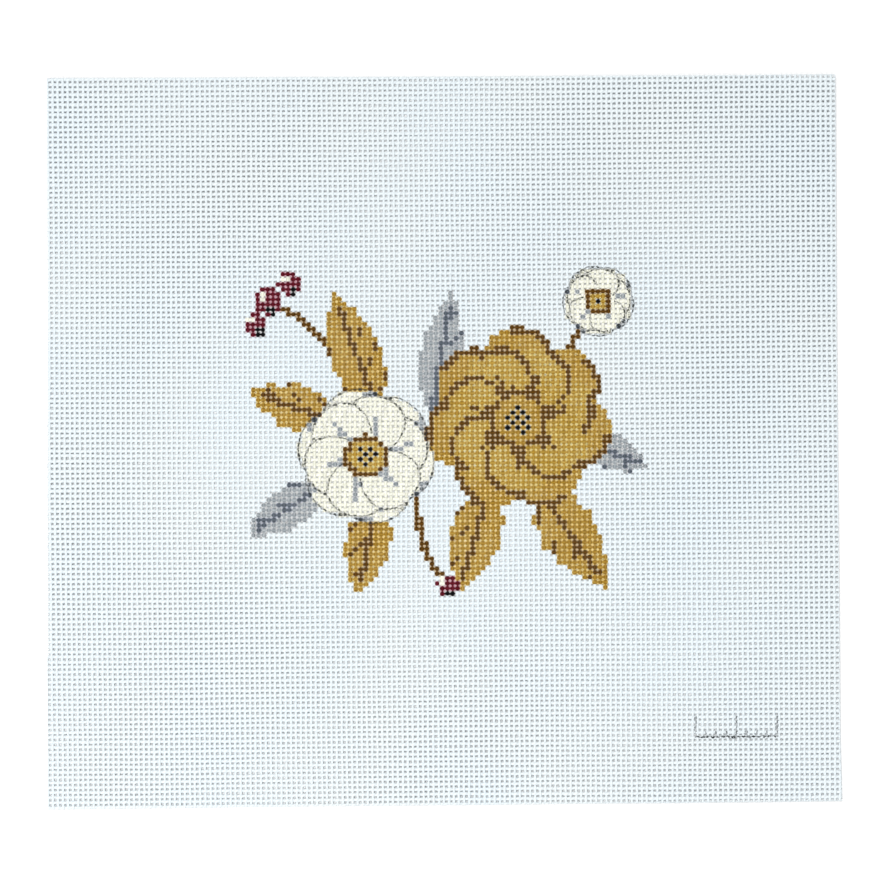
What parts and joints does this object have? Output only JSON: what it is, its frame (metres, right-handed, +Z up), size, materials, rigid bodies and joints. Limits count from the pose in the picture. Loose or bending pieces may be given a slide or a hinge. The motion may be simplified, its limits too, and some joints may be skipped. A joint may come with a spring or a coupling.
{
  "type": "painted needlepoint canvas",
  "caption": "Flat, nearly rectangular piece of white open-weave needlepoint canvas with raw cut edges and wide bare margins round a small painted design for stitching.",
  "frame": {"origin": "centre of the underside, on the surface that the canvas lies on", "axes": "+X along the crosswise threads to the right of the painted design, +Y along the lengthwise threads to its top, +Z up through the cloth to the painted side"},
  "size_m": [0.3058, 0.2822, 0.0012],
  "materials": {
    "sized_cotton": "stiff sized cotton thread, matt with a faint sheen, hand painted with acrylic in the middle"
  },
  "bodies": {
    "root": {"weft_threads": "sized_cotton", "warp_threads": "sized_cotton"}
  },
  "joints": []
}
